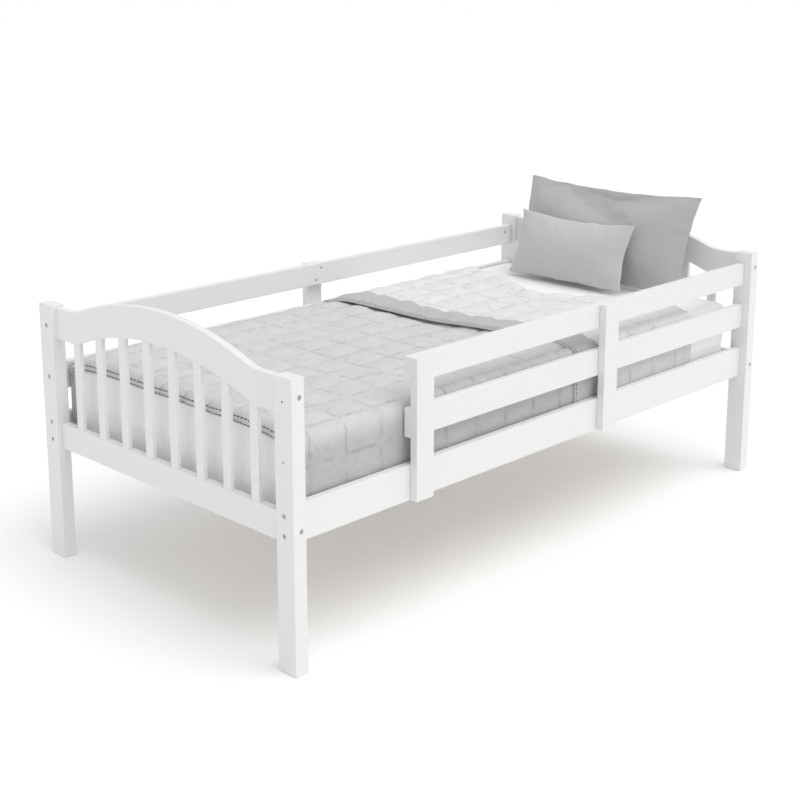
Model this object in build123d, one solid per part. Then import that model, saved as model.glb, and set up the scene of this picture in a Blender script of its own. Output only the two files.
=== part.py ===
from build123d import *
import math
import os

os.makedirs("parts", exist_ok=True)

# A single bed in painted wood: two arched boards between four legs, side rails with a slatted base,
# guard rails on both sides with an entry gap at the front, and a mattress with its bedding.
# Millimetres. +X runs from the foot to the head, +Y from the front side to the back side and +Z up.
# The origin is on the floor, in the middle of the bed.

# Overall frame
bed_length = 2020.0
bed_width = 1066.0
leg_height = 745.0
leg_x = 40.0
leg_y = 63.0
edge_soft = 2.0

# Arched boards: rails between the legs, set back from the side that faces the foot
board_recess = 13.0
board_t = 22.0
arch_flat_z = 738.0
arch_peak_z = 811.0
arch_depth = 89.0
arch_top_radius = 1000.0
arch_foot_radius = 150.0
bottom_rail_z = (329.0, 404.5)
board_slat_count = 8
board_slat_pitch = 107.5
board_slat_w = 30.0
board_slat_t = 13.0
board_slat_recess = 2.0
tenon = 13.0

# Side rails, cleats and the slatted base
rail_recess = 25.0
rail_t = 22.0
rail_z = (330.0, 426.0)
cleat_t = 20.0
cleat_h = 22.0
base_slat_count = 12
base_slat_w = 70.0
base_slat_t = 18.0
base_slat_reach = 900.0
base_slat_end_gap = 0.5

# Guards
guard_top_z = (639.0, 709.0)
guard_mid_z = (496.0, 574.0)
post_w = 63.0
post_t = 24.0
front_guard_end_x = -594.0
front_post_middles = (-594.0 + post_w / 2, 221.0)
back_post_middle = 0.0

# Fasteners
bolt_r = 3.0
bolt_clear_r = 3.5
bolt_head_r = 6.2
bolt_head_t = 2.2
bolt_socket_r = 2.6
bolt_socket_depth = 1.5
counterbore_r = 6.6
counterbore_depth = 2.2
nut_from_end = 35.0
nut_r = 5.0
nut_length = 16.0
nut_set_in = 1.0
bolt_past_nut = 8.0
dowel_r = 4.0
dowel_length = 40.0
screw_r = 2.0
screw_head_r = 4.2
screw_head_t = 2.6
guard_bolt_z = (685.0, 537.0)
side_bolt_z = (404.0, 353.5)
side_bolt_in = 34.0
arch_bolt_z = 697.0
bottom_bolt_z = 368.0
arch_dowel_gap = 29.0
bottom_dowel_gap = 24.0
guard_dowel_gap = 25.0
guard_screw_dx = 11.0
guard_screw_dz = 19.0
post_screw_z = (382.0, 408.0)

# Bedding
mattress_length = 1900.0
mattress_width = 950.0
mattress_top = 575.0
mattress_corner_r = 45.0
mattress_edge_r = 26.0
cloth_gap = 0.3
quilt_t = 12.0
quilt_drop_t = 9.0
quilt_foot_z = 566.0
quilt_drop_z = 402.0
quilt_hem_x = 40.0
pillow_gap = 0.6
pillow_lean = 19.0
large_pillow_size = (720.0, 345.0, 90.0)
large_pillow_middle = (906.0, 11.0)
small_pillow_size = (490.0, 240.0, 70.0)
small_pillow_middle = (799.0, 75.0)

# Worked out from the sizes above
half_l = bed_length / 2
half_w = bed_width / 2
leg_in_x = half_l - leg_x
leg_in_y = half_w - leg_y
rail_out_y = half_w - rail_recess
rail_in_y = rail_out_y - rail_t
cleat_top = rail_z[0] + cleat_h
base_top = cleat_top + base_slat_t
foot_board_x = -half_l + board_recess
head_board_x = leg_in_x + board_recess
side_bolt_y = half_w - side_bolt_in

LOW = (Align.CENTER, Align.CENTER, Align.MIN)


def block(x, y, z, soft=edge_soft):
    """A plank between two corners, given as (low, high) along each axis, with its edges eased."""
    size = (x[1] - x[0], y[1] - y[0], z[1] - z[0])
    middle = ((x[0] + x[1]) / 2, (y[0] + y[1]) / 2, (z[0] + z[1]) / 2)
    plank = Box(*size)
    if soft:
        plank = fillet(plank.edges(), soft)
    return Pos(*middle) * plank


def rod(start, way, radius, length):
    """A round bar or hole from a point along a direction."""
    return Plane(origin=start, z_dir=way) * Cylinder(radius, length, align=LOW)


def less(body, cuts):
    """The body with every cut taken out of it."""
    for cut in cuts:
        body = body - cut
    return body


def connector_bolt(seat, way, length):
    """A flat-headed bolt with a hex socket. The seat is the middle of the counterbore's floor."""
    out = (-way[0], -way[1], -way[2])
    shank = rod(seat, way, bolt_r, length)
    head = fillet(Cylinder(bolt_head_r, bolt_head_t, align=LOW).edges().group_by(Axis.Z)[-1], 0.8)
    socket = extrude(RegularPolygon(bolt_socket_r, 6), bolt_socket_depth)
    head = head - Pos(0, 0, bolt_head_t - bolt_socket_depth) * socket
    return shank + Plane(origin=seat, z_dir=out) * head


def screw(start, way, length):
    """A countersunk wood screw whose head is flush with the face it starts on."""
    cone = Cone(screw_head_r, screw_r, screw_head_t, align=LOW)
    return Plane(origin=start, z_dir=way) * (cone + Cylinder(screw_r, length, align=LOW))


def joint_hardware(face_point, way, leg_through, nut_way, nut_face):
    """One bolt through a leg into a rail end, with its cross nut, and what has to be cut for them.

    face_point is on the leg's outer face and way points into the leg. nut_way is the direction
    that the nut was pushed in from the rail's face, and nut_face is that face's place along it.
    """
    step = Vector(*way)
    face = Vector(*face_point)
    seat = face + step * counterbore_depth
    to_nut = leg_through + nut_from_end
    bolt_length = to_nut - counterbore_depth + bolt_past_nut
    bolt = connector_bolt(tuple(seat), way, bolt_length)
    nut_push = Vector(*nut_way)
    nut_middle = face + step * to_nut
    nut_start = nut_middle - nut_push * (nut_middle.dot(nut_push) - nut_face)
    nut = rod(tuple(nut_start + nut_push * nut_set_in), nut_way, nut_r, nut_length)
    nut_hole = rod(tuple(nut_start), nut_way, nut_r, nut_set_in + nut_length)
    bolt_hole = rod(tuple(face), way, bolt_clear_r, to_nut + bolt_past_nut + 2.0)
    counterbore = rod(tuple(face), way, counterbore_r, counterbore_depth)
    bolts.append(bolt)
    nuts.append(nut - rod(tuple(seat), way, bolt_r, bolt_length))
    return [bolt_hole + counterbore], [bolt_hole, nut_hole]


def dowel(middle, way):
    """A wooden dowel across a joint, half in each piece."""
    step = Vector(*way)
    start = Vector(*middle) - step * (dowel_length / 2)
    pin = rod(tuple(start), way, dowel_r, dowel_length)
    dowels.append(pin)
    return [pin]


def arch_outline(drop):
    """The arched edge, from leg to leg in the board's plane, lowered by drop."""
    flat = arch_flat_z - drop
    rise = arch_peak_z - arch_flat_z
    big = arch_top_radius
    small = arch_foot_radius
    centre_z = flat + rise - big
    turn_y = math.sqrt((big + small) ** 2 - (flat + small - centre_z) ** 2)
    slope = math.atan2(turn_y, flat + small - centre_z)
    join = (big * math.sin(slope), centre_z + big * math.cos(slope))
    half = (turn_y - small * math.sin(slope / 2), flat + small - small * math.cos(slope / 2))
    left = Line((-leg_in_y, flat), (-turn_y, flat))
    left_foot = ThreePointArc((-turn_y, flat), (-half[0], half[1]), (-join[0], join[1]))
    crown = ThreePointArc((-join[0], join[1]), (0, flat + rise), join)
    right_foot = ThreePointArc(join, half, (turn_y, flat))
    right = Line((turn_y, flat), (leg_in_y, flat))
    return [left, left_foot, crown, right_foot, right]


def arch_height(y):
    """Height of the arch's underside above a point of the slats' line."""
    centre_z = arch_peak_z - arch_depth - arch_top_radius
    on_crown = centre_z + math.sqrt(arch_top_radius**2 - y**2)
    return max(on_crown, arch_flat_z - arch_depth)


def arch_rail(face_x):
    """The arched top rail, the same curve above and below."""
    top = arch_outline(0)
    under = arch_outline(arch_depth)
    ends = [
        Line((-leg_in_y, arch_flat_z), (-leg_in_y, arch_flat_z - arch_depth)),
        Line((leg_in_y, arch_flat_z), (leg_in_y, arch_flat_z - arch_depth)),
    ]
    outline = [Plane.YZ * line for line in top + under + ends]
    rail = extrude(make_face(outline), board_t, dir=(1, 0, 0))
    long_edges = [edge for edge in rail.edges() if edge.center().X in (0.0, board_t)]
    long_edges = [edge for edge in long_edges if abs(edge.center().Y) < leg_in_y - 1]
    return Pos(face_x, 0, 0) * fillet(long_edges, edge_soft)


def end_board(name, face_x, leg_names):
    """One arched board: its two rails, its slats and the bolts and dowels to its legs."""
    rails = {
        "arch_rail": (arch_rail(face_x), arch_bolt_z, arch_dowel_gap),
        "bottom_rail": (
            block((face_x, face_x + board_t), (-leg_in_y, leg_in_y), bottom_rail_z),
            bottom_bolt_z,
            bottom_dowel_gap,
        ),
    }
    slat_x = (face_x + board_slat_recess, face_x + board_slat_recess + board_slat_t)
    mortises = []
    for number in range(board_slat_count):
        y = ((board_slat_count - 1) / 2 - number) * board_slat_pitch
        low = bottom_rail_z[1] - tenon
        high = arch_height(y) + tenon
        slat = block(slat_x, (y - board_slat_w / 2, y + board_slat_w / 2), (low, high), 0)
        mortises.append(slat)
        nodes[f"{name}_slat_{number + 1}"] = fillet(slat.edges().filter_by(Axis.Z), edge_soft)
    middle_x = face_x + board_t / 2
    for rail_name, (rail, bolt_z, gap) in rails.items():
        cuts = list(mortises)
        for leg_name, side in zip(leg_names, (-1, 1)):
            leg_cuts, rail_cuts = joint_hardware(
                (middle_x, side * half_w, bolt_z), (0, -side, 0), leg_y, (-1, 0, 0), -(face_x + board_t)
            )
            for lift in (-gap, gap):
                pins = dowel((middle_x, side * leg_in_y, bolt_z + lift), (0, 1, 0))
                leg_cuts += pins
                rail_cuts += pins
            leg_holes[leg_name] += leg_cuts
            cuts += rail_cuts
        nodes[f"{name}_{rail_name}"] = less(rail, cuts)


def rail_end(rail_cuts, leg_name, end, side, bolt_z):
    """Bolt one end of a side or guard rail to a leg."""
    leg_cuts, cuts = joint_hardware(
        (end * half_l, side * side_bolt_y, bolt_z), (-end, 0, 0), leg_x, (0, side, 0), rail_in_y
    )
    leg_holes[leg_name] += leg_cuts
    rail_cuts += cuts


def side_rail(name, side, post_middles):
    """One side rail with its cleat, and the screws into the guard posts outside it."""
    rail_cuts = []
    for end, end_name in ((-1, "foot"), (1, "head")):
        for bolt_z in side_bolt_z:
            rail_end(rail_cuts, f"leg_{end_name}_{name}", end, side, bolt_z)
    for x in post_middles:
        for z in post_screw_z:
            fixing = screw((x, side * rail_in_y, z), (0, side, 0), rail_t + post_t - 8)
            post_screws.append(fixing)
            rail_cuts.append(fixing)
            post_cuts.setdefault((name, x), []).append(fixing)
    cleat_cuts = []
    step = 2 * base_slat_reach / (base_slat_count - 1)
    for number in range(0, base_slat_count - 1, 2):
        x = -base_slat_reach + (number + 0.5) * step
        fixing = screw((x, side * (rail_in_y - cleat_t), rail_z[0] + cleat_h / 2), (0, side, 0), 36)
        cleat_screws.append(fixing)
        rail_cuts.append(fixing)
        cleat_cuts.append(fixing)
    y = sorted((side * rail_in_y, side * rail_out_y))
    rail = block((-leg_in_x, leg_in_x), y, rail_z)
    nodes[f"side_rail_{name}"] = less(rail, rail_cuts)
    y = sorted((side * (rail_in_y - cleat_t), side * rail_in_y))
    cleats[name] = (block((-leg_in_x + 1, leg_in_x - 1), y, (rail_z[0], cleat_top), 0), cleat_cuts)


def base_slats():
    """The slats of the bed base, screwed down onto both cleats."""
    step = 2 * base_slat_reach / (base_slat_count - 1)
    reach = rail_in_y - base_slat_end_gap
    for number in range(base_slat_count):
        x = -base_slat_reach + number * step
        slat = block((x - base_slat_w / 2, x + base_slat_w / 2), (-reach, reach), (cleat_top, base_top))
        for side, name in ((-1, "front"), (1, "back")):
            fixing = screw((x, side * (rail_in_y - cleat_t / 2), base_top), (0, 0, -1), 34)
            slat_screws.append(fixing)
            slat = slat - fixing
            cleats[name][1].append(fixing)
        nodes[f"base_slat_{number + 1:02d}"] = slat
    for name, (cleat, cuts) in cleats.items():
        nodes[f"cleat_{name}"] = less(cleat, cuts)


def guard(name, side, start_x, post_middles, post_names):
    """One guard: two rails bolted to the legs, screwed to posts that stand outside the side rail."""
    y = sorted((side * rail_in_y, side * rail_out_y))
    for rail_name, z, bolt_z in (("top", guard_top_z, guard_bolt_z[0]), ("mid", guard_mid_z, guard_bolt_z[1])):
        cuts = []
        for end, end_name in ((-1, "foot"), (1, "head")):
            if end < 0 and start_x > -leg_in_x:
                continue
            leg_name = f"leg_{end_name}_{name}"
            rail_end(cuts, leg_name, end, side, bolt_z)
            pins = dowel((end * leg_in_x, side * side_bolt_y, bolt_z - guard_dowel_gap), (1, 0, 0))
            leg_holes[leg_name] += pins
            cuts += pins
        for x in post_middles:
            for turn in (-1, 1):
                place = (x + turn * guard_screw_dx, side * rail_in_y, sum(z) / 2 + turn * guard_screw_dz)
                fixing = screw(place, (0, side, 0), rail_t + post_t - 8)
                guard_screws.append(fixing)
                cuts.append(fixing)
                post_cuts[(name, x)].append(fixing)
        nodes[f"guard_{name}_{rail_name}_rail"] = less(block((start_x, leg_in_x), y, z), cuts)
    y = sorted((side * rail_out_y, side * (rail_out_y + post_t)))
    for x, post_name in zip(post_middles, post_names):
        post = block((x - post_w / 2, x + post_w / 2), y, (rail_z[0], guard_top_z[1]))
        nodes[f"guard_{name}_{post_name}"] = less(post, post_cuts[(name, x)])


def spare_guard_holes():
    """The front leg at the foot is drilled like the others, though no guard rail reaches it."""
    for z in guard_bolt_z:
        start = (-half_l - 1, -side_bolt_y, z)
        leg_holes["leg_foot_front"].append(rod(start, (1, 0, 0), bolt_clear_r, leg_x + 2))


def legs():
    """The four legs, with every hole that the boards, rails and guards need."""
    for end, end_name in ((-1, "foot"), (1, "head")):
        for side, side_name in ((-1, "front"), (1, "back")):
            x = sorted((end * leg_in_x, end * half_l))
            y = sorted((side * leg_in_y, side * half_w))
            name = f"leg_{end_name}_{side_name}"
            nodes[name] = less(block(x, y, (0, leg_height)), leg_holes[name])


def mattress():
    """A foam mattress with soft edges, on the slats."""
    height = mattress_top - base_top - cloth_gap
    body = Box(mattress_length, mattress_width, height)
    body = fillet(body.edges().filter_by(Axis.Z), mattress_corner_r)
    flat_edges = body.edges().group_by(Axis.Z)[0] + body.edges().group_by(Axis.Z)[-1]
    body = fillet(flat_edges, mattress_edge_r)
    return Pos(0, 0, base_top + cloth_gap + height / 2) * body


def quilt():
    """The quilt: one layer from the foot, a second where its head end is folded back, and drops at the sides and foot."""
    low = mattress_top + cloth_gap
    reach = mattress_width / 2 + cloth_gap + quilt_drop_t
    head_edge = Spline((700, -reach), (610, -300), (520, -60), (590, 220), (650, reach))
    foot_x = -(mattress_length / 2 + cloth_gap + quilt_drop_t)
    sides = [
        Line((foot_x, -reach), (700, -reach)),
        head_edge,
        Line((650, reach), (foot_x, reach)),
        Line((foot_x, reach), (foot_x, -reach)),
    ]
    layer = extrude(make_face(sides), quilt_t)
    fold_back = layer & Box(1000, 2 * reach, quilt_t, align=(Align.MIN, Align.CENTER, Align.MIN)).moved(
        Location((quilt_hem_x, 0, 0))
    )
    cloth = Pos(0, 0, low) * layer + Pos(0, 0, low + quilt_t) * fold_back
    for side, head_x in ((-1, 700), (1, 650)):
        y = sorted((side * (reach - quilt_drop_t), side * reach))
        cloth = cloth + block((foot_x, head_x), y, (quilt_drop_z, low + quilt_t), 0)
    foot = block((foot_x, foot_x + quilt_drop_t), (-reach, reach), (quilt_foot_z, low + quilt_t), 0)
    return cloth + foot


def pillow(width, height, thick, lean, middle):
    """A pillow leaning back by lean degrees, its lowest point just above the mattress."""
    edge = 0.45 * thick
    body = fillet(Box(thick, width, height).edges(), edge)
    tilt = math.radians(lean)
    drop = (height / 2 - edge) * math.cos(tilt) + (thick / 2 - edge) * math.sin(tilt) + edge
    rise = mattress_top + pillow_gap + drop
    return Pos(middle[0], middle[1], rise) * Rot(0, lean, 0) * body


nodes = {}
bolts = []
nuts = []
dowels = []
post_screws = []
guard_screws = []
slat_screws = []
cleat_screws = []
post_cuts = {}
cleats = {}
leg_holes = {f"leg_{end}_{side}": [] for end in ("foot", "head") for side in ("front", "back")}

end_board("footboard", foot_board_x, ("leg_foot_front", "leg_foot_back"))
end_board("headboard", head_board_x, ("leg_head_front", "leg_head_back"))
side_rail("front", -1, front_post_middles)
side_rail("back", 1, (back_post_middle,))
base_slats()
guard("front", -1, front_guard_end_x, front_post_middles, ("end_post", "middle_post"))
guard("back", 1, -leg_in_x, (back_post_middle,), ("post",))
spare_guard_holes()
legs()

nodes["connector_bolts"] = Compound(children=bolts)
nodes["barrel_nuts"] = Compound(children=nuts)
nodes["wooden_dowels"] = Compound(children=dowels)
nodes["guard_rail_screws"] = Compound(children=guard_screws)
nodes["guard_post_screws"] = Compound(children=post_screws)
nodes["slat_screws"] = Compound(children=slat_screws)
nodes["cleat_screws"] = Compound(children=cleat_screws)

nodes["mattress"] = mattress()
nodes["quilt"] = quilt()
nodes["pillow_large"] = pillow(*large_pillow_size, pillow_lean, large_pillow_middle)
nodes["pillow_small"] = pillow(*small_pillow_size, pillow_lean, small_pillow_middle)

for name, shape in nodes.items():
    export_step(shape, f"parts/{name}.step")
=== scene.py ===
import math

import bmesh
import bpy
import numpy as np
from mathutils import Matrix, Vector


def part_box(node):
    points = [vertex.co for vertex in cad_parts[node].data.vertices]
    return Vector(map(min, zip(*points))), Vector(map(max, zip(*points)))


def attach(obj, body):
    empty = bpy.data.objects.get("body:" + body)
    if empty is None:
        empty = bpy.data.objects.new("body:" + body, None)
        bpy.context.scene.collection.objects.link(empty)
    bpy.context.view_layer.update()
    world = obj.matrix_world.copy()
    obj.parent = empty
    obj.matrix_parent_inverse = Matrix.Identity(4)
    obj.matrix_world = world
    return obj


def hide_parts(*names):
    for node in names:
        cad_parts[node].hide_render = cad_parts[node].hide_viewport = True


bl_info = {
    "name": "Single Bed With Guard Rails",
    "version": (1, 0, 0),
    "blender": (4, 5, 0),
    "location": "3D View > Sidebar > Bed",
    "description": "Paints the timber bed and makes its mattress, quilt and pillows",
    "category": "Object",
}

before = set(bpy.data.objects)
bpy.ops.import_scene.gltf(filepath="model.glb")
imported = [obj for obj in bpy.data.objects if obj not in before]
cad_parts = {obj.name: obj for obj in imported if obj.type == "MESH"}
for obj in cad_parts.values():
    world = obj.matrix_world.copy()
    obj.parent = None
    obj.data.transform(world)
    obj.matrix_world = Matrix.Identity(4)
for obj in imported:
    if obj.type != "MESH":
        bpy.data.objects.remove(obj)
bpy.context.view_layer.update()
MM = 0.001


# ---------------------------------------------------------------- colours and material nodes


def linear(hex_colour):
    """The linear RGBA of an sRGB colour written as six hex digits."""
    parts = [int(hex_colour[i : i + 2], 16) / 255 for i in (0, 2, 4)]
    bent = [c / 12.92 if c <= 0.04045 else ((c + 0.055) / 1.055) ** 2.4 for c in parts]
    return (*bent, 1.0)


def new_material(name):
    """An empty material: its node tree and its surface shader, already joined to the output."""
    material = bpy.data.materials.new(name)
    material.use_nodes = True
    tree = material.node_tree
    tree.nodes.clear()
    shader = tree.nodes.new("ShaderNodeBsdfPrincipled")
    output = tree.nodes.new("ShaderNodeOutputMaterial")
    tree.links.new(shader.outputs["BSDF"], output.inputs["Surface"])
    return material, tree, shader


def add(tree, kind, links=None, values=None, **settings):
    """Adds one node: its settings, the values of its sockets, and what is linked into them."""
    made = tree.nodes.new(kind)
    for name, value in settings.items():
        setattr(made, name, value)
    for name, value in (values or {}).items():
        made.inputs[name].default_value = value
    for name, source in (links or {}).items():
        tree.links.new(source, made.inputs[name])
    return made


def per_metre(size_mm):
    """A pattern scale: how many times a size in millimetres goes into a metre."""
    return 1000.0 / size_mm


def waves_per_metre(length_mm):
    """The scale of a wave texture whose bands are a length in millimetres apart."""
    return per_metre(length_mm) * math.pi / 20.0


def ramp(tree, source, stops):
    """A colour ramp over (position, hex) stops."""
    made = add(tree, "ShaderNodeValToRGB", links={"Fac": source})
    first, last = made.color_ramp.elements
    first.position, first.color = stops[0][0], linear(stops[0][1])
    last.position, last.color = stops[-1][0], linear(stops[-1][1])
    for position, colour in stops[1:-1]:
        made.color_ramp.elements.new(position).color = linear(colour)
    return made.outputs["Color"]


def stretched_coords(tree, grain):
    """Object coordinates, with the direction that the grain runs in drawn out."""
    coords = add(tree, "ShaderNodeTexCoord")
    scale = [1.0, 1.0, 1.0]
    scale["XYZ".index(grain)] = 0.06
    links = {"Vector": coords.outputs["Object"]}
    return add(tree, "ShaderNodeMapping", links=links, values={"Scale": scale})


def satin_lacquer_on_pine(grain, paint):
    """Pigmented lacquer sprayed on planed pine: near white, with a soft gloss that varies along the faint
    long lines of the grain under it, and a faint cloudy unevenness in its tone."""
    material, tree, shader = new_material(f"satin_lacquer_on_pine_{grain.lower()}")
    place = stretched_coords(tree, grain)
    vector = place.outputs["Vector"]
    lines = add(
        tree,
        "ShaderNodeTexNoise",
        links={"Vector": vector},
        values={"Scale": per_metre(9.0), "Detail": 5.0, "Roughness": 0.6},
    )
    cloud = add(
        tree,
        "ShaderNodeTexNoise",
        links={"Vector": vector},
        values={"Scale": per_metre(160.0), "Detail": 2.0},
    )
    spray = add(
        tree,
        "ShaderNodeTexNoise",
        links={"Vector": add(tree, "ShaderNodeTexCoord").outputs["Object"]},
        values={"Scale": per_metre(2.2), "Detail": 2.0},
    )
    tones = add(
        tree,
        "ShaderNodeMix",
        data_type="RGBA",
        links={"Factor": cloud.outputs["Fac"]},
        values={"A": linear(paint), "B": linear("EAEAEA")},
    )
    tree.links.new(tones.outputs["Result"], shader.inputs["Base Color"])
    gloss = add(
        tree,
        "ShaderNodeMapRange",
        links={"Value": lines.outputs["Fac"]},
        values={"To Min": 0.36, "To Max": 0.5},
    )
    tree.links.new(gloss.outputs["Result"], shader.inputs["Roughness"])
    grain_bump = add(
        tree,
        "ShaderNodeBump",
        links={"Height": lines.outputs["Fac"]},
        values={"Strength": 0.12, "Distance": 0.4 * MM},
    )
    peel = add(
        tree,
        "ShaderNodeBump",
        links={"Height": spray.outputs["Fac"], "Normal": grain_bump.outputs["Normal"]},
        values={"Strength": 0.06, "Distance": 0.15 * MM},
    )
    tree.links.new(peel.outputs["Normal"], shader.inputs["Normal"])
    shader.inputs["IOR"].default_value = 1.48
    return material


def planed_pine(grain):
    """Planed pine with no finish: pale straw, with darker late wood lines and a dull surface."""
    material, tree, shader = new_material(f"planed_pine_{grain.lower()}")
    vector = stretched_coords(tree, grain).outputs["Vector"]
    rings = add(
        tree,
        "ShaderNodeTexWave",
        bands_direction="Z" if grain != "Z" else "X",
        links={"Vector": vector},
        values={"Scale": per_metre(60.0), "Distortion": 7.0, "Detail": 3.0, "Detail Scale": 1.5},
    )
    fibres = add(
        tree,
        "ShaderNodeTexNoise",
        links={"Vector": vector},
        values={"Scale": per_metre(2.0), "Detail": 4.0},
    )
    wood = ramp(tree, rings.outputs["Fac"], ((0.0, "F0EADF"), (0.6, "E8DFCF"), (1.0, "D6C9B2")))
    shade = add(
        tree,
        "ShaderNodeMix",
        data_type="RGBA",
        blend_type="MULTIPLY",
        links={"A": wood, "B": ramp(tree, fibres.outputs["Fac"], ((0.3, "D8D3CC"), (0.7, "FFFFFF")))},
        values={"Factor": 0.6},
    )
    tree.links.new(shade.outputs["Result"], shader.inputs["Base Color"])
    bump = add(
        tree,
        "ShaderNodeBump",
        links={"Height": fibres.outputs["Fac"]},
        values={"Strength": 0.25, "Distance": 0.3 * MM},
    )
    tree.links.new(bump.outputs["Normal"], shader.inputs["Normal"])
    shader.inputs["Roughness"].default_value = 0.62
    return material


def zinc_plated_steel(name, tone):
    """Bright zinc on pressed steel: grey metal with a soft gloss, cloudy from the plating bath."""
    material, tree, shader = new_material(name)
    coords = add(tree, "ShaderNodeTexCoord")
    cloud = add(
        tree,
        "ShaderNodeTexNoise",
        links={"Vector": coords.outputs["Object"]},
        values={"Scale": per_metre(3.0), "Detail": 4.0},
    )
    tint = ramp(tree, cloud.outputs["Fac"], ((0.3, tone), (0.75, "D6D8DA")))
    tree.links.new(tint, shader.inputs["Base Color"])
    gloss = add(
        tree,
        "ShaderNodeMapRange",
        links={"Value": cloud.outputs["Fac"]},
        values={"To Min": 0.28, "To Max": 0.5},
    )
    tree.links.new(gloss.outputs["Result"], shader.inputs["Roughness"])
    shader.inputs["Metallic"].default_value = 1.0
    return material


def weave(tree, vector, thread_mm, strength, under):
    """The bump of a plain weave, warp and weft threads that cross, laid over the normal under it."""
    threads = []
    for axis in ("X", "Y", "Z"):
        thread = add(
            tree,
            "ShaderNodeTexWave",
            bands_direction=axis,
            links={"Vector": vector},
            values={"Scale": waves_per_metre(thread_mm), "Distortion": 0.6, "Detail": 1.0},
        )
        threads.append(thread)
    pair = add(
        tree,
        "ShaderNodeMath",
        operation="MULTIPLY",
        links={0: threads[0].outputs["Fac"], 1: threads[1].outputs["Fac"]},
    )
    both = add(
        tree,
        "ShaderNodeMath",
        operation="ADD",
        links={0: pair.outputs[0], 1: threads[2].outputs["Fac"]},
    )
    bump = add(
        tree,
        "ShaderNodeBump",
        links={"Height": both.outputs[0], "Normal": under},
        values={"Strength": strength, "Distance": 0.25 * MM},
    )
    return bump.outputs["Normal"]


def woven_cotton(
    name,
    colour,
    shadow_colour,
    thread_mm=1.6,
    crease_mm=45.0,
    crease=0.35,
    crease_depth_mm=3.0,
):
    """Washed plain cotton: matt, with a soft sheen at grazing angles, threads that cross, slubs and
    small creases. The threads are drawn several times coarser than real ones, or none would show."""
    material, tree, shader = new_material(name)
    vector = add(tree, "ShaderNodeTexCoord").outputs["Object"]
    creases = add(
        tree,
        "ShaderNodeTexNoise",
        links={"Vector": vector},
        values={"Scale": per_metre(crease_mm), "Detail": 6.0, "Roughness": 0.55, "Distortion": 0.8},
    )
    slubs = add(
        tree,
        "ShaderNodeTexNoise",
        links={"Vector": vector},
        values={"Scale": per_metre(3.5), "Detail": 2.0},
    )
    crease_bump = add(
        tree,
        "ShaderNodeBump",
        links={"Height": creases.outputs["Fac"]},
        values={"Strength": crease, "Distance": crease_depth_mm * MM},
    )
    normal = weave(tree, vector, thread_mm, 0.22, crease_bump.outputs["Normal"])
    tree.links.new(normal, shader.inputs["Normal"])
    cloth = add(
        tree,
        "ShaderNodeMix",
        data_type="RGBA",
        links={"Factor": slubs.outputs["Fac"]},
        values={"A": linear(colour), "B": linear(shadow_colour)},
    )
    tree.links.new(cloth.outputs["Result"], shader.inputs["Base Color"])
    shader.inputs["Roughness"].default_value = 0.9
    shader.inputs["Sheen Weight"].default_value = 0.25
    shader.inputs["Sheen Roughness"].default_value = 0.5
    shader.inputs["Specular IOR Level"].default_value = 0.25
    return material, tree, shader, cloth.outputs["Result"]


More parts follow.
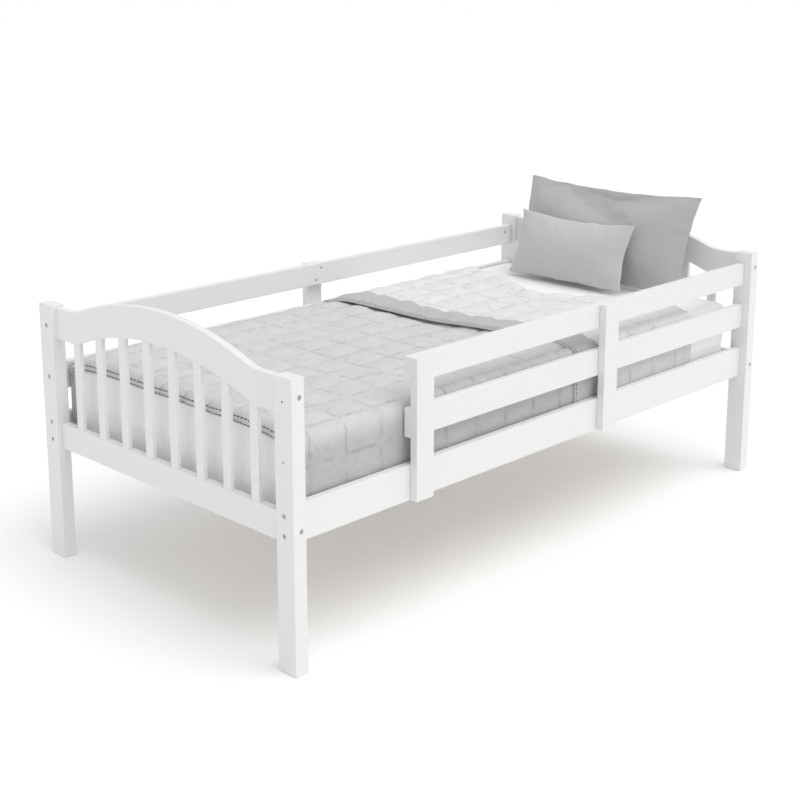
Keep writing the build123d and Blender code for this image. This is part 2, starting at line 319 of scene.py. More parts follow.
def quilt_cloth(name, colour, shadow_colour, band_colour, settings):
    """Cotton with its machine stitching: the seams between the quilted squares are painted darker, partly
    the stitch line's own colour and partly painted shade in the seam valleys, broken up by noise; patchy
    painted crease shade lies over the cloth, painted shade darkens it where it hangs down the sides, and
    two rows of dark stitches run along the hems. The flat cut's metres are in the UV map."""
    creases = {"crease_mm": 55.0, "crease": 1.0, "crease_depth_mm": 7.0}
    material, tree, shader, cloth = woven_cotton(name, colour, shadow_colour, **creases)
    flat = add(tree, "ShaderNodeUVMap", uv_map="flat_cut")
    split = add(tree, "ShaderNodeSeparateXYZ", links={"Vector": flat.outputs["UV"]})
    along, across = split.outputs["X"], split.outputs["Y"]
    length = settings["length"]

    def near(socket, place, half_width):
        """One within half_width of a place along a socket, and nothing elsewhere."""
        return add(
            tree,
            "ShaderNodeMath",
            operation="COMPARE",
            links={0: socket},
            values={1: place, 2: half_width},
        ).outputs[0]

    seams = []
    for socket, square, first in (
        (along, settings["square_length"], settings["first_seam"]),
        (across, settings["square_width"], (settings["width"] - settings["square_width"]) / 2),
    ):
        moved = add(tree, "ShaderNodeMath", operation="SUBTRACT", links={0: socket}, values={1: first})
        away = add(
            tree,
            "ShaderNodeMath",
            operation="PINGPONG",
            links={0: moved.outputs[0]},
            values={1: square / 2},
        )
        seams.append(away.outputs[0])
    nearest = add(tree, "ShaderNodeMath", operation="MINIMUM", links={0: seams[0], 1: seams[1]})
    # Painted shade along the seams: partly the stitch line's darker colour, partly shade painted into the
    # valleys between the squares
    painted_seam_shade = add(
        tree,
        "ShaderNodeMapRange",
        interpolation_type="SMOOTHSTEP",
        links={"Value": nearest.outputs[0]},
        values={"From Max": 0.009, "To Min": settings["seam_shade_depth"], "To Max": 1.0},
    )
    # Noise that breaks the painted seam shade into patches, the way shade lies in crumpled gathers
    seam_shade_noise = add(
        tree,
        "ShaderNodeTexNoise",
        links={"Vector": flat.outputs["UV"]},
        values={"Scale": per_metre(38.0), "Detail": 3.0},
    )
    strength = add(
        tree,
        "ShaderNodeMapRange",
        links={"Value": seam_shade_noise.outputs["Fac"]},
        values={"From Min": 0.42, "From Max": 0.62, "To Min": 0.0, "To Max": 1.7},
    )
    patchy_seam_shade = add(
        tree,
        "ShaderNodeMath",
        operation="POWER",
        links={0: painted_seam_shade.outputs["Result"], 1: strength.outputs["Result"]},
    )
    middle = add(
        tree,
        "ShaderNodeMath",
        operation="SUBTRACT",
        links={0: across},
        values={1: settings["width"] / 2},
    )
    out = add(tree, "ShaderNodeMath", operation="ABSOLUTE", links={0: middle.outputs[0]})
    # Painted shade: the cloth is painted darker where the quilt hangs down the sides inside the rails,
    # where less light reaches it
    hanging = add(
        tree,
        "ShaderNodeMapRange",
        interpolation_type="SMOOTHSTEP",
        links={"Value": out.outputs[0]},
        values={"From Min": 0.48, "From Max": 0.53, "To Min": 1.0, "To Max": settings["side_shade_depth"]},
    )
    # Painted shade: patchy noise darkens and lightens the cloth by a few percent, standing in for the
    # shading of soft creases
    crease_shade_noise = add(
        tree,
        "ShaderNodeTexNoise",
        links={"Vector": flat.outputs["UV"]},
        values={"Scale": per_metre(70.0), "Detail": 4.0, "Roughness": 0.6, "Distortion": 1.2},
    )
    painted_crease_shade = add(
        tree,
        "ShaderNodeMapRange",
        links={"Value": crease_shade_noise.outputs["Fac"]},
        values={"From Min": 0.35, "From Max": 0.65, "To Min": 0.955, "To Max": 1.025},
    )
    uneven = add(
        tree,
        "ShaderNodeMath",
        operation="MULTIPLY",
        links={0: patchy_seam_shade.outputs[0], 1: painted_crease_shade.outputs["Result"]},
    )
    shade = add(
        tree,
        "ShaderNodeMath",
        operation="MULTIPLY",
        links={0: uneven.outputs[0], 1: hanging.outputs["Result"]},
    )
    shaded = add(
        tree,
        "ShaderNodeMix",
        data_type="RGBA",
        blend_type="MULTIPLY",
        links={"A": cloth, "B": shade.outputs[0]},
        values={"Factor": 1.0},
    )
    cloth = shaded.outputs["Result"]
    if band_colour is not None:
        wander = add(
            tree,
            "ShaderNodeTexNoise",
            links={"Vector": flat.outputs["UV"]},
            values={"Scale": per_metre(50.0), "Detail": 2.0},
        )
        shifted = add(
            tree,
            "ShaderNodeMath",
            operation="MULTIPLY_ADD",
            links={0: wander.outputs["Fac"], 2: along},
            values={1: 14 * MM},
        )
        inside = add(
            tree,
            "ShaderNodeMath",
            operation="GREATER_THAN",
            links={0: shifted.outputs[0]},
            values={1: length - settings["band"] + 7 * MM},
        )
        banded = add(
            tree,
            "ShaderNodeMix",
            data_type="RGBA",
            links={"Factor": inside.outputs[0], "A": cloth},
            values={"B": linear(band_colour)},
        )
        cloth = banded.outputs["Result"]
    dash = add(
        tree,
        "ShaderNodeTexWave",
        bands_direction="Y",
        links={"Vector": flat.outputs["UV"]},
        values={"Scale": waves_per_metre(settings["stitch_mm"])},
    )
    dashes = add(
        tree,
        "ShaderNodeMath",
        operation="GREATER_THAN",
        links={0: dash.outputs["Fac"]},
        values={1: 0.1},
    )
    rows = None
    for hem in (0.0, length):
        for step in settings["stitch_rows"]:
            place = step if hem == 0.0 else length - step
            row = near(along, place, settings["thread"])
            rows = row if rows is None else add(
                tree, "ShaderNodeMath", operation="MAXIMUM", links={0: rows, 1: row}
            ).outputs[0]
    stitched = add(
        tree, "ShaderNodeMath", operation="MULTIPLY", links={0: rows, 1: dashes.outputs[0]}
    )
    sewn = add(
        tree,
        "ShaderNodeMix",
        data_type="RGBA",
        links={"Factor": stitched.outputs[0], "A": cloth},
        values={"B": linear(settings["thread_colour"])},
    )
    tree.links.new(sewn.outputs["Result"], shader.inputs["Base Color"])
    return material


def wear(piece, material):
    """Gives a piece one material in every slot."""
    piece.data.materials.clear()
    piece.data.materials.append(material)
    for polygon in piece.data.polygons:
        polygon.material_index = 0


# ---------------------------------------------------------------- meshes and cloth


def link_mesh(name, vertices, faces):
    """A new mesh object, smooth shaded, in the scene."""
    mesh = bpy.data.meshes.new(name)
    mesh.from_pydata([tuple(v) for v in vertices], [], faces)
    mesh.update()
    piece = bpy.data.objects.new(name, mesh)
    bpy.context.scene.collection.objects.link(piece)
    for polygon in mesh.polygons:
        polygon.use_smooth = True
    return piece


def read_points(mesh):
    points = np.zeros(len(mesh.vertices) * 3)
    mesh.vertices.foreach_get("co", points)
    return points.reshape(-1, 3)


def write_points(mesh, points):
    mesh.vertices.foreach_set("co", points.astype(np.float32).ravel())
    mesh.update()


def face_outwards(piece):
    """Turns every face of a closed mesh outwards."""
    work = bmesh.new()
    work.from_mesh(piece.data)
    bmesh.ops.recalc_face_normals(work, faces=work.faces)
    work.to_mesh(piece.data)
    work.free()


def settle_cloth(piece, pinned, frames, pressure, grow, stiffness, bending):
    """Runs a cloth simulation with no gravity on a piece and returns where its points end."""
    cloth = piece.modifiers.new("cloth", "CLOTH")
    cloth.settings.quality = 5
    cloth.settings.mass = 0.15
    cloth.settings.tension_stiffness = stiffness
    cloth.settings.compression_stiffness = stiffness
    cloth.settings.shear_stiffness = stiffness / 3
    cloth.settings.bending_stiffness = bending
    cloth.settings.use_pressure = True
    cloth.settings.uniform_pressure_force = pressure
    cloth.settings.shrink_min = -grow
    cloth.settings.effector_weights.gravity = 0.0
    cloth.collision_settings.use_collision = False
    group = piece.vertex_groups.new(name="sewn")
    group.add([int(i) for i in pinned], 1.0, "REPLACE")
    cloth.settings.vertex_group_mass = "sewn"
    cloth.point_cache.frame_start = 1
    cloth.point_cache.frame_end = frames
    scene = bpy.context.scene
    for number in range(1, frames + 1):
        scene.frame_set(number)
    graph = bpy.context.evaluated_depsgraph_get()
    settled = piece.evaluated_get(graph).to_mesh()
    points = read_points(settled)
    piece.evaluated_get(graph).to_mesh_clear()
    piece.modifiers.remove(cloth)
    scene.frame_set(1)
    return points


def grid_faces(rows, columns, first=0, flip=False):
    """The quads of a grid of points that are stored row by row."""
    faces = []
    for i in range(rows - 1):
        for j in range(columns - 1):
            a = first + i * columns + j
            quad = (a, a + 1, a + columns + 1, a + columns)
            faces.append(quad[::-1] if flip else quad)
    return faces


def rim(rows, columns):
    """The points round a grid's edge, in order."""
    top = [j for j in range(columns)]
    right = [i * columns + columns - 1 for i in range(1, rows)]
    bottom = [(rows - 1) * columns + j for j in range(columns - 2, -1, -1)]
    left = [i * columns for i in range(rows - 2, 0, -1)]
    return top + right + bottom + left


def smooth_step(value):
    value = np.clip(value, 0.0, 1.0)
    return value * value * (3 - 2 * value)


def soft_waves(x, y, seed, size, count=14):
    """A gentle unevenness between about -1 and 1, the same on every run."""
    draw = np.random.default_rng(seed)
    total = np.zeros_like(x)
    for _ in range(count):
        turn = draw.uniform(0, 2 * math.pi)
        length = size * draw.uniform(0.6, 1.8)
        phase = draw.uniform(0, 2 * math.pi)
        total += np.sin((x * math.cos(turn) + y * math.sin(turn)) * 2 * math.pi / length + phase)
    return total / math.sqrt(count)


# ---------------------------------------------------------------- settings


class BedFinishSettings(bpy.types.PropertyGroup):
    paint: bpy.props.StringProperty(
        name="Paint", description="sRGB hex of the lacquer on the timber", default="E4E4E4"
    )
    quilt: bpy.props.StringProperty(
        name="Quilt face", description="sRGB hex of the quilt's grey side", default="D3D3D3"
    )
    quilt_reverse: bpy.props.StringProperty(
        name="Quilt reverse", description="sRGB hex of the quilt's light side", default="E4E4E4"
    )
    quilt_band: bpy.props.StringProperty(
        name="Quilt band", description="sRGB hex of the border on the light side", default="B8B8B8"
    )
    pillow_large: bpy.props.StringProperty(
        name="Large pillow", description="sRGB hex of the large pillow", default="BCBCBC"
    )
    pillow_small: bpy.props.StringProperty(
        name="Small pillow", description="sRGB hex of the small pillow", default="C9C9C9"
    )
    ticking: bpy.props.StringProperty(
        name="Mattress", description="sRGB hex of the mattress cover", default="FAFAFA"
    )
    stitches: bpy.props.StringProperty(
        name="Stitches", description="sRGB hex of the hem stitches", default="4A4A4A"
    )


class BeddingSettings(bpy.types.PropertyGroup):
    square_length: bpy.props.FloatProperty(
        name="Square length", description="Quilted squares, along the bed", default=0.12, unit="LENGTH"
    )
    square_width: bpy.props.FloatProperty(
        name="Square width", description="Quilted squares, across the bed", default=0.10, unit="LENGTH"
    )
    puff: bpy.props.FloatProperty(
        name="Puff", description="Height of the squares over their seams", default=0.0105, unit="LENGTH"
    )
    side_puff: bpy.props.FloatProperty(
        name="Side puff",
        description="The same where the quilt hangs inside the rails",
        default=0.003,
        unit="LENGTH",
    )
    band: bpy.props.FloatProperty(
        name="Band", description="Width of the border on the light side", default=0.115, unit="LENGTH"
    )
    pillow_fill: bpy.props.FloatProperty(
        name="Pillow fill",
        description="How full the pillows are",
        default=0.6,
        min=0.0,
        max=1.0,
        subtype="FACTOR",
    )


class BedStageSettings(bpy.types.PropertyGroup):
    floor_size: bpy.props.FloatProperty(
        name="Floor", description="Side of the square floor", default=60.0, unit="LENGTH"
    )
    sky: bpy.props.FloatProperty(name="Sky", description="Strength of the even light", default=0.72)
    key: bpy.props.FloatProperty(name="Key", description="Strength of the soft light overhead", default=1.4)
    key_angle: bpy.props.FloatProperty(
        name="Key softness", description="How wide the overhead light is, in degrees", default=50.0
    )
    lens: bpy.props.FloatProperty(
        name="Lens", description="Focal length in millimetres", default=64.29, subtype="NONE"
    )


# ---------------------------------------------------------------- the timber and its fastenings


def grain_of(node):
    """The direction that a timber's grain runs in: the longest side of its box."""
    low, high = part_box(node)
    sides = high - low
    return "XYZ"[max(range(3), key=lambda i: sides[i])]


class BED_OT_lacquer_timber(bpy.types.Operator):
    """Lacquers the legs, boards, rails and posts"""

    bl_idname = "bed.lacquer_timber"
    bl_label = "Lacquer the timber"

    def execute(self, context):
        paint = context.scene.bed_finish.paint
        materials = {grain: satin_lacquer_on_pine(grain, paint) for grain in "XYZ"}
        parts = ("leg_", "footboard_", "headboard_", "side_rail_", "guard_front", "guard_back")
        for name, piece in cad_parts.items():
            if name.startswith(parts):
                wear(piece, materials[grain_of(name)])
        return {"FINISHED"}


class BED_OT_finish_base(bpy.types.Operator):
    """Gives the slats, cleats and dowels their bare wood"""

    bl_idname = "bed.finish_base"
    bl_label = "Finish the slatted base"

    def execute(self, context):
        materials = {grain: planed_pine(grain) for grain in "XYZ"}
        for name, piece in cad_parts.items():
            if name.startswith(("base_slat_", "cleat_front", "cleat_back", "wooden_dowels")):
                wear(piece, materials[grain_of(name)])
        return {"FINISHED"}


class BED_OT_finish_fastenings(bpy.types.Operator):
    """Plates the bolts, cross nuts and screws"""

    bl_idname = "bed.finish_fastenings"
    bl_label = "Finish the fastenings"

    def execute(self, context):
        bolts = zinc_plated_steel("zinc_plated_bolts", "8E9194")
        screws = zinc_plated_steel("zinc_plated_screws", "7B7E81")
        for name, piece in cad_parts.items():
            if name in ("connector_bolts", "barrel_nuts"):
                wear(piece, bolts)
            elif name.endswith("_screws"):
                wear(piece, screws)
        return {"FINISHED"}


# ---------------------------------------------------------------- the mattress


MATTRESS = {
    "corner": 0.05,
    "step": 0.016,
    "inset": 0.004,
    "seam_z": 0.437,
    "seam_depth": 0.0035,
    "seam_width": 0.006,
    "piping_in": 0.012,
    "piping_radius": 0.0028,
    "border_rings": 16,
    "border_bulge": 0.003,
    "border_wave": 0.0012,
}

# How far in from the edge each ring of the top and the underside lies, and how far past the piping
CROWN = (
    (0.004, 0.006),
    (0.012, 0.0105),
    (0.03, 0.012),
    (0.09, 0.0125),
    (0.2, 0.0125),
    (0.4, 0.0125),
)


def rounded_outline(length, width, corner, step):
    """Points round a rectangle with rounded corners, as places and outward directions."""
    points, ways = [], []
    runs = (
        ((length / 2, -width / 2 + corner), (0, 1), width - 2 * corner, (1, 0)),
        ((length / 2 - corner, width / 2), (-1, 0), length - 2 * corner, (0, 1)),
        ((-length / 2, width / 2 - corner), (0, -1), width - 2 * corner, (-1, 0)),
        ((-length / 2 + corner, -width / 2), (1, 0), length - 2 * corner, (0, -1)),
    )
    for start, way, run, out in runs:
        count = max(2, round(run / step))
        for k in range(count):
            share = run * k / count
            points.append((start[0] + way[0] * share, start[1] + way[1] * share))
            ways.append(out)
        end = (start[0] + way[0] * run, start[1] + way[1] * run)
        centre = (end[0] - out[0] * corner, end[1] - out[1] * corner)
        turn = 6
        base = math.atan2(out[1], out[0])
        for k in range(turn):
            angle = base + math.pi / 2 * k / turn
            points.append((centre[0] + corner * math.cos(angle), centre[1] + corner * math.sin(angle)))
            ways.append((math.cos(angle), math.sin(angle)))
    return np.array(points), np.array(ways)


def inset_ring(outline, ways, inward, corner, length, width):
    """The outline drawn inwards: by an even margin near its edge and in proportion beyond that."""
    near = min(inward, 0.8 * corner)
    ring = outline - ways * near
    half = np.array([length / 2, width / 2])
    return ring * (half - inward) / (half - near)


def bead(name, path, radius, sides=8):
    """A closed round cord along a closed path of points."""
    path = np.array(path)
    ahead = np.roll(path, -1, 0) - np.roll(path, 1, 0)
    ahead /= np.linalg.norm(ahead, axis=1)[:, None]
    up = np.tile([0.0, 0.0, 1.0], (len(path), 1))
    side = np.cross(ahead, up)
    side /= np.linalg.norm(side, axis=1)[:, None]
    points = []
    for k in range(sides):
        angle = 2 * math.pi * k / sides
        points.append(path + radius * (math.cos(angle) * side + math.sin(angle) * up))
    points = np.stack(points, 1).reshape(-1, 3)
    faces = []
    for i in range(len(path)):
        j = (i + 1) % len(path)
        for k in range(sides):
            m = (k + 1) % sides
            faces.append((i * sides + k, j * sides + k, j * sides + m, i * sides + m))
    return link_mesh(name, points, faces)


class BED_OT_make_mattress(bpy.types.Operator):
    """Makes the mattress: a crowned block with piped edges and a seam round its border"""

    bl_idname = "bed.make_mattress"
    bl_label = "Make the mattress"

    def execute(self, context):
        low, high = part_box("mattress")
        length, width, height = high - low
        corner = MATTRESS["corner"]
        inset = MATTRESS["inset"]
        outline, ways = rounded_outline(length - inset, width - inset, corner, MATTRESS["step"])
        piping_in = MATTRESS["piping_in"]
        count_up = MATTRESS["border_rings"]
        levels = [
            low.z + piping_in + (height - 2 * piping_in) * k / count_up for k in range(count_up + 1)
        ]
        rings = []
        for z in levels:
            share = (z - levels[0]) / (levels[-1] - levels[0])
            from_seam = (z - MATTRESS["seam_z"]) / MATTRESS["seam_width"]
            bulge = MATTRESS["border_bulge"] * math.sin(math.pi * share)
            bulge = bulge - MATTRESS["seam_depth"] * math.exp(-(from_seam**2))
            wave = MATTRESS["border_wave"] * soft_waves(outline[:, 0], outline[:, 1] + z * 3, 5, 0.22)
            ring = outline + ways * (bulge - MATTRESS["border_bulge"] + wave)[:, None]
            rings.append(np.column_stack([ring, np.full(len(outline), z)]))
        under = []
        for inward, rise in CROWN:
            ring = inset_ring(outline, ways, inward, corner, length, width)
            past = min(rise, piping_in)
            rings.append(np.column_stack([ring, np.full(len(ring), levels[-1] + past)]))
            under.append(np.column_stack([ring, np.full(len(ring), levels[0] - past)]))
        rings = under[::-1] + rings
        count = len(outline)
        faces = []
        for r in range(len(rings) - 1):
            for k in range(count):
                m = (k + 1) % count
                faces.append((r * count + k, r * count + m, (r + 1) * count + m, (r + 1) * count + k))
        faces.append(tuple(range(count))[::-1])
        faces.append(tuple((len(rings) - 1) * count + k for k in range(count)))
        body = link_mesh("mattress_cover", np.concatenate(rings), faces)
        face_outwards(body)
        ticking = context.scene.bed_finish.ticking
        weaving = {"thread_mm": 2.0, "crease_mm": 120.0, "crease": 0.2}
        material, _, _, _ = woven_cotton("mattress_ticking", ticking, "F0F0F0", **weaving)
        wear(body, material)
        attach(body, "mattress")
        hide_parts("mattress")
        for name, z in (("top", levels[-1]), ("bottom", levels[0])):
            path = np.column_stack([outline - ways * 0.002, np.full(count, z)])
            piping = bead(f"mattress_piping_{name}", path, MATTRESS["piping_radius"])
            face_outwards(piping)
            wear(piping, material)
            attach(piping, "mattress")
        return {"FINISHED"}


# ---------------------------------------------------------------- the quilt


QUILT = {
    "step": 0.01,
    "length": 2.26,
    "width": 1.28,
    "foot_upright": 0.002,
    "foot_gap": 0.0040,
    "side_gap": 0.0026,
    "fold_side_gap": 0.0050,
    "top_gap": 0.0050,
    "under_hem": 0.12,
    "nose": 0.011,
    "foot_loft": 0.014,
    "unevenness": 0.0030,
    "fold_rise": 0.008,
    "layer_gap": 0.0125,
    "layer_lift": 0.004,
    "half_thick": 0.0028,
    "half_thick_side": 0.0018,
    "fold_start": 1.60,
    "fold_length": 0.06,
    "edge_radius": 0.024,
    "first_seam": 0.06,
    "stitch_mm": 7.0,
    "thread": 0.0013,
    "stitch_rows": (0.004, 0.015),
    # How dark the painted seam shade and the painted shade on the hanging sides are
    "seam_shade_depth": 0.86,
    "side_shade_depth": 0.78,
}


def hem_line(y):
    """Where the folded-back hem lies, along the bed."""
    return 0.054 - 0.052 * (y / 0.485)


def fold_line(y):
    """Where the quilt is folded back: nearest the foot in the middle, and swung back at both sides."""
    front = 0.19 * smooth_step((-0.04 - y) / 0.33)
    back = 0.14 * smooth_step((y + 0.04) / 0.42)
    return 0.512 + front + back


def across_quilt(t, half, radius):
    """Across the bed: where a point of the cut comes to lie, as y and as its drop below the top."""
    side = np.sign(t)
    reach = np.abs(t)
    flat_end = half - radius
    angle = np.clip((reach - flat_end) / radius, 0, math.pi / 2)
    down = np.maximum(reach - flat_end - radius * math.pi / 2, 0)
    y = np.where(reach < flat_end, reach, flat_end + radius * np.sin(angle))
    drop = radius * (1 - np.cos(angle)) + down
    return side * y, drop


def quilted_panel(rows, columns, settings):
    """The quilt's flat cut, stuffed: each square swells between its sewn seams and creases there."""
    step = QUILT["step"]
    across_places = (np.arange(columns) - (columns - 1) / 2) * step
    along, across = np.meshgrid(np.arange(rows) * step, across_places, indexing="ij")
    row_pitch = round(settings.square_length / step)
    column_pitch = round(settings.square_width / step)
    seam_rows = (np.arange(rows) - round(QUILT["first_seam"] / step)) % row_pitch == 0
    from_middle = np.arange(columns) - (columns - 1) // 2
    seam_columns = (from_middle - column_pitch // 2) % column_pitch == 0
    sewn = seam_rows[:, None] | seam_columns[None, :]
    sewn[0], sewn[-1], sewn[:, 0], sewn[:, -1] = True, True, True, True
    u = ((along - QUILT["first_seam"]) / settings.square_length) % 1.0
    v = ((across / settings.square_width) + 0.5) % 1.0
    dome = np.clip(np.sin(math.pi * u) * np.sin(math.pi * v), 0, 1) ** 0.6
    points = np.stack([along, across, np.zeros_like(along)], -1).reshape(-1, 3)
    draw = np.random.default_rng(11)
    points[:, 2] += np.where(sewn.ravel(), 0, draw.uniform(0.0005, 0.0025, len(points)))
    panel = link_mesh("panel", points, grid_faces(rows, columns))
    settled = settle_cloth(
        panel,
        np.flatnonzero(sewn.ravel()),
        frames=22,
        pressure=1.5,
        grow=0.06,
        stiffness=12.0,
        bending=0.08,
    )
    bpy.data.objects.remove(panel)
    moved = (settled - points).reshape(rows, columns, 3)
    height = np.abs(settled[:, 2]).reshape(rows, columns)
    height = np.clip(height / np.percentile(height, 97), 0, 1.15)
    sideways = np.clip(moved[..., :2], -0.003, 0.003)
    return sideways[..., 0], sideways[..., 1], dome * (0.45 + 0.55 * height)


class BED_OT_make_quilt(bpy.types.Operator):
    """Makes the quilt: sewn squares, hanging inside the rails, with its head end folded back"""

    bl_idname = "bed.make_quilt"
    bl_label = "Make the quilt"

    def execute(self, context):
        bedding, finish = context.scene.bed_bedding, context.scene.bed_finish
        step = QUILT["step"]
        rows = round(QUILT["length"] / step) + 1
        columns = round(QUILT["width"] / step) + 1
        slide_s, slide_t, swell = quilted_panel(rows, columns, bedding)
        s, t = np.meshgrid(
            np.arange(rows) * step, (np.arange(columns) - (columns - 1) / 2) * step, indexing="ij"
        )
        s0, t0 = s.copy(), t.copy()
        s, t = s + slide_s, t + slide_t
        low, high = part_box("mattress")

        # How far through the fold each point is: 0 under it, 1 on top of it
        turn = np.clip((s - QUILT["fold_start"]) / QUILT["fold_length"], 0, 1)
        lay = (1 - np.cos(math.pi * turn)) / 2

        half = (high.y + QUILT["side_gap"]) + QUILT["fold_side_gap"] * lay
        y, drop_side = across_quilt(t, half, QUILT["edge_radius"])

        # Along the bed, before the fold: up the foot end, over its edge and along the top
        foot_x = low.x - QUILT["foot_gap"]
        radius = QUILT["edge_radius"]
        rise = np.clip(QUILT["foot_upright"] - s, 0, None)
        angle = np.clip((s - QUILT["foot_upright"]) / radius, 0, math.pi / 2)
        past = np.maximum(s - QUILT["foot_upright"] - radius * math.pi / 2, 0)
        x_under = foot_x + radius * (1 - np.cos(angle)) + past
        drop_foot = radius * (1 - np.sin(angle)) + rise
        seen = hem_line(y) + QUILT["under_hem"]
        fold = fold_line(y)
        seen_s = seen - foot_x - radius + QUILT["foot_upright"] + radius * math.pi / 2
        hidden = np.clip((s - seen_s) / (QUILT["fold_start"] - seen_s), 0, 1)
        x_under = np.where(s > seen_s, seen + (fold - seen) * hidden, x_under)

        # After the fold: back towards the foot, on top
        beyond_fold = QUILT["length"] - QUILT["fold_start"] - QUILT["fold_length"]
        back = np.clip((QUILT["length"] - s) / beyond_fold, 0, 1)
        x_over = hem_line(y) + (fold - hem_line(y)) * back
        nose = QUILT["nose"] * np.sin(math.pi * turn)
        x = np.where(turn >= 1, x_over, np.where(turn > 0, fold + nose, x_under))

        top = high.z + QUILT["top_gap"]
        loft = QUILT["foot_loft"] * np.exp(-((x - low.x - 0.08) / 0.16) ** 2) * (1 - lay)
        middle = smooth_step((half - np.abs(y)) / 0.12)
        uneven = QUILT["unevenness"] * soft_waves(x, y, 3, 0.45) * middle
        fold_rise = QUILT["fold_rise"] * np.exp(-((x - fold) / 0.05) ** 2) * lay
        z = top + loft * middle + uneven + QUILT["layer_gap"] * lay * middle
        z = z + QUILT["layer_lift"] * lay + fold_rise * middle
        z = z - drop_side - drop_foot * (1 - lay)

        centre = np.stack([x, y, z], -1)
        along = np.gradient(centre, axis=0)
        across = np.gradient(centre, axis=1)
        face_way = np.cross(along, across)
        face_way /= np.maximum(np.linalg.norm(face_way, axis=2), 1e-9)[..., None]

        on_side = smooth_step((drop_side - 0.004) / 0.02)
        puff = swell * (bedding.puff * (1 - on_side) + bedding.side_puff * on_side * (1 - 0.7 * lay))
        hem = smooth_step(np.minimum(s0, QUILT["length"] - s0) / 0.03)
        puff = puff * (0.25 + 0.75 * hem)
        half_thick = QUILT["half_thick"] * (1 - on_side) + QUILT["half_thick_side"] * on_side
        face_puff = puff * (1 - 0.85 * lay)
        reverse_puff = puff * (0.12 + 0.88 * lay)
        face = centre + face_way * (half_thick + face_puff)[..., None]
        reverse = centre - face_way * (half_thick + reverse_puff)[..., None]

        count = rows * columns
        points = np.concatenate([face.reshape(-1, 3), reverse.reshape(-1, 3)])
        faces = grid_faces(rows, columns) + grid_faces(rows, columns, count, flip=True)
        edge = rim(rows, columns)
        for k, a in enumerate(edge):
            b = edge[(k + 1) % len(edge)]
            faces.append((b, a, a + count, b + count))
        quilt = link_mesh("quilt_cloth", points, faces)
        flat = quilt.data.uv_layers.new(name="flat_cut")
        cut = np.stack([s0.ravel(), t0.ravel() + QUILT["width"] / 2], -1)
        corners = np.zeros(len(quilt.data.loops), int)
        quilt.data.loops.foreach_get("vertex_index", corners)
        flat.data.foreach_set("uv", cut[corners % count].astype(np.float32).ravel())

        settings = dict(
            QUILT,
            band=bedding.band,
            thread_colour=finish.stitches,
            square_length=bedding.square_length,
            square_width=bedding.square_width,
        )
        grey = quilt_cloth("quilted_cotton_grey", finish.quilt, "C8C8C8", None, settings)
        band = finish.quilt_band
        light = quilt_cloth("quilted_cotton_light", finish.quilt_reverse, "DCDCDC", band, settings)
        quilt.data.materials.append(grey)
        quilt.data.materials.append(light)
        skin = (rows - 1) * (columns - 1)
        for number, polygon in enumerate(quilt.data.polygons):
            polygon.material_index = 1 if skin <= number < 2 * skin else 0
        face_outwards(quilt)
        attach(quilt, "quilt")
        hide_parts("quilt")
        return {"FINISHED"}


# ---------------------------------------------------------------- the pillows


PILLOW = {
    "bow": 0.017,
    "bow_below": 0.002,
    "cut_large": 0.012,
    "lean": 19.0,
    "fuller_below": 0.22,
}


def pillow_case(name, width, height, thick, seed):
    """A pillow sewn round its edge: the seam bows in a little between the corners, and the two
    panels are cut large, so that they swell and crease where they meet it. Flat in Y and Z."""
    step = 0.010
    columns, rows = round(width / step) + 1, round(height / step) + 1
    v, u = np.meshgrid(np.linspace(-1, 1, rows), np.linspace(-1, 1, columns), indexing="ij")
    uneven = 0.0015 * soft_waves(u * width, v * height, seed, 0.16)
    y = u * (width / 2 - PILLOW["bow"] * (1 - v**2)) + uneven * np.abs(u)
    bow_across = np.where(v > 0, PILLOW["bow"], PILLOW["bow_below"])
    z = v * (height / 2 - bow_across * (1 - u**2)) + uneven * np.abs(v)
    fall = ((1 - np.abs(u) ** 2.4) * (1 - np.abs(v) ** 2.4)) ** 0.78
    draw = np.random.default_rng(seed)
    inner = np.ones((rows, columns), bool)
    inner[0], inner[-1], inner[:, 0], inner[:, -1] = False, False, False, False
    bump = 0.5 * thick * fall + np.where(inner, draw.uniform(0, 0.0015, y.shape), 0)
    front = np.stack([-bump, y, z], -1).reshape(-1, 3)
    back = np.stack([bump, y, z], -1).reshape(-1, 3)
    number = np.full(rows * columns, -1)
    number[inner.ravel()] = np.arange(inner.sum()) + rows * columns
    number[~inner.ravel()] = np.flatnonzero(~inner.ravel())
    points = np.concatenate([front, back[inner.ravel()]])
    faces = grid_faces(rows, columns, flip=True)
    faces += [tuple(number[i] for i in quad) for quad in grid_faces(rows, columns)]
    piece = link_mesh(name, points, [tuple(int(i) for i in quad) for quad in faces])
    face_outwards(piece)
    settled = read_points(piece.data)
    sewn = np.flatnonzero(~inner.ravel())
    settled = settle_cloth(
        piece,
        sewn,
        frames=26,
        pressure=1.2,
        grow=PILLOW["cut_large"],
        stiffness=14.0,
        bending=0.35,
    )
    thickness = settled[:, 0].max() - settled[:, 0].min()
    settled[:, 0] *= thick / thickness
    write_points(piece.data, settled)
    return piece


def lean_and_rest(piece, node, lean, nudge, floor_z):
    """Leans a pillow back into the place of its CAD solid, fuller low down and flat where it rests."""
    low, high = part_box(node)
    middle = (low + high) / 2 + Vector(nudge)
    points = read_points(piece.data)
    height = points[:, 2].max() - points[:, 2].min()
    share = (points[:, 2] / height) + 0.5
    points[:, 0] *= 1.0 + PILLOW["fuller_below"] * (0.5 - share)
    turn = math.radians(lean)
    x = points[:, 0] * math.cos(turn) + points[:, 2] * math.sin(turn)
    z = -points[:, 0] * math.sin(turn) + points[:, 2] * math.cos(turn)
    placed = np.column_stack([x + middle.x, points[:, 1] + middle.y, z + middle.z])
    placed[:, 2] = np.maximum(placed[:, 2], floor_z)
    write_points(piece.data, placed)


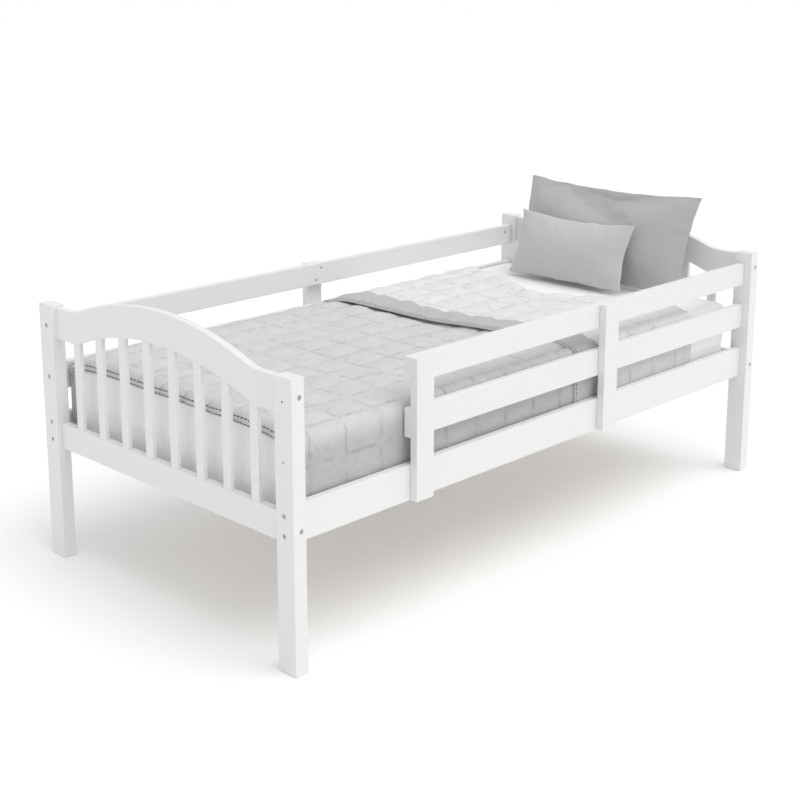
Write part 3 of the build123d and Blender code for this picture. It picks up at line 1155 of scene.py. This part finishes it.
class BED_OT_make_pillows(bpy.types.Operator):
    """Makes both pillows, the small one leaning on the large one"""

    bl_idname = "bed.make_pillows"
    bl_label = "Make the pillows"

    def execute(self, context):
        finish, fill = context.scene.bed_finish, context.scene.bed_bedding.pillow_fill
        rest_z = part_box("mattress")[1].z + 0.0008
        made = (
            ("pillow_large", 0.728, 0.345, 0.118, (0.0, 0.008, 0.007), finish.pillow_large, "AEAEAE", 21),
            ("pillow_small", 0.494, 0.236, 0.090, (0.0, 0.0, 0.008), finish.pillow_small, "C0C0C0", 22),
        )
        for node, width, height, thick, nudge, colour, darker, seed in made:
            piece = pillow_case(f"{node}_case", width, height, thick, seed)
            lean_and_rest(piece, node, PILLOW["lean"], nudge, rest_z)
            smooth = piece.modifiers.new("finer", "SUBSURF")
            smooth.levels = smooth.render_levels = 1
            material, _, _, _ = woven_cotton(f"{node}_cotton", colour, darker, crease_mm=70.0, crease=0.25)
            wear(piece, material)
            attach(piece, node)
            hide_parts(node)
        return {"FINISHED"}


# ---------------------------------------------------------------- the stage


class BED_OT_set_stage(bpy.types.Operator):
    """Lays a pale floor and sets the soft lights and the camera"""

    bl_idname = "bed.set_stage"
    bl_label = "Set the stage"

    def execute(self, context):
        stage, scene = context.scene.bed_stage, context.scene
        half = stage.floor_size / 2
        corners = [(-half, -half, 0), (half, -half, 0), (half, half, 0), (-half, half, 0)]
        floor = link_mesh("floor", corners, [(0, 1, 2, 3)])
        floor.location.z = -0.0005
        material, _, shader = new_material("matt_white_floor")
        shader.inputs["Base Color"].default_value = linear("F4F4F4")
        shader.inputs["Roughness"].default_value = 0.9
        shader.inputs["Emission Color"].default_value = (1.0, 1.0, 1.0, 1.0)
        shader.inputs["Emission Strength"].default_value = 0.07
        wear(floor, material)

        world = bpy.data.worlds.new("even_white")
        world.use_nodes = True
        sky = world.node_tree.nodes["Background"]
        sky.inputs["Color"].default_value = (1.0, 1.0, 1.0, 1.0)
        seen = add(world.node_tree, "ShaderNodeLightPath").outputs["Is Camera Ray"]
        even = add(
            world.node_tree,
            "ShaderNodeMapRange",
            links={"Value": seen},
            values={"To Min": stage.sky, "To Max": 1.0},
        )
        world.node_tree.links.new(even.outputs["Result"], sky.inputs["Strength"])
        scene.world = world
        lamp = bpy.data.lights.new("key", "SUN")
        lamp.energy, lamp.angle = stage.key, math.radians(stage.key_angle)
        holder = bpy.data.objects.new("key", lamp)
        scene.collection.objects.link(holder)
        holder.rotation_euler = Vector((0.08, -0.42, 0.85)).to_track_quat("Z", "Y").to_euler()

        lens = bpy.data.cameras.new("camera")
        lens.lens, lens.sensor_width, lens.shift_y = stage.lens, 36.0, -0.15
        camera = bpy.data.objects.new("camera", lens)
        scene.collection.objects.link(camera)
        camera.location = (-3.061, -2.901, 1.687)
        camera.rotation_euler = (math.radians(90 - 12.78), 0.0, math.radians(-45.44))
        scene.camera = camera
        scene.view_settings.view_transform = "Standard"
        return {"FINISHED"}


# ---------------------------------------------------------------- panel and registration


class BED_PT_panel(bpy.types.Panel):
    """Lists the bed's pieces in the order that they are made"""

    bl_idname = "BED_PT_panel"
    bl_label = "Bed"
    bl_space_type = "VIEW_3D"
    bl_region_type = "UI"
    bl_category = "Bed"

    def draw(self, context):
        for group in ("bed_finish", "bed_bedding", "bed_stage"):
            box = self.layout.box()
            settings = getattr(context.scene, group)
            for name in settings.__annotations__:
                box.prop(settings, name)
        for operator in OPERATORS:
            self.layout.operator(operator.bl_idname)


OPERATORS = (
    BED_OT_lacquer_timber,
    BED_OT_finish_base,
    BED_OT_finish_fastenings,
    BED_OT_make_mattress,
    BED_OT_make_quilt,
    BED_OT_make_pillows,
    BED_OT_set_stage,
)
CLASSES = (BedFinishSettings, BeddingSettings, BedStageSettings, *OPERATORS, BED_PT_panel)


def register():
    for cls in CLASSES:
        bpy.utils.register_class(cls)
    bpy.types.Scene.bed_finish = bpy.props.PointerProperty(type=BedFinishSettings)
    bpy.types.Scene.bed_bedding = bpy.props.PointerProperty(type=BeddingSettings)
    bpy.types.Scene.bed_stage = bpy.props.PointerProperty(type=BedStageSettings)


def unregister():
    del bpy.types.Scene.bed_stage
    del bpy.types.Scene.bed_bedding
    del bpy.types.Scene.bed_finish
    for cls in reversed(CLASSES):
        bpy.utils.unregister_class(cls)


def main():
    """Makes the whole bed."""
    register()
    for operator in OPERATORS:
        group, name = operator.bl_idname.split(".")
        getattr(getattr(bpy.ops, group), name)()


if __name__ == "__main__":
    main()
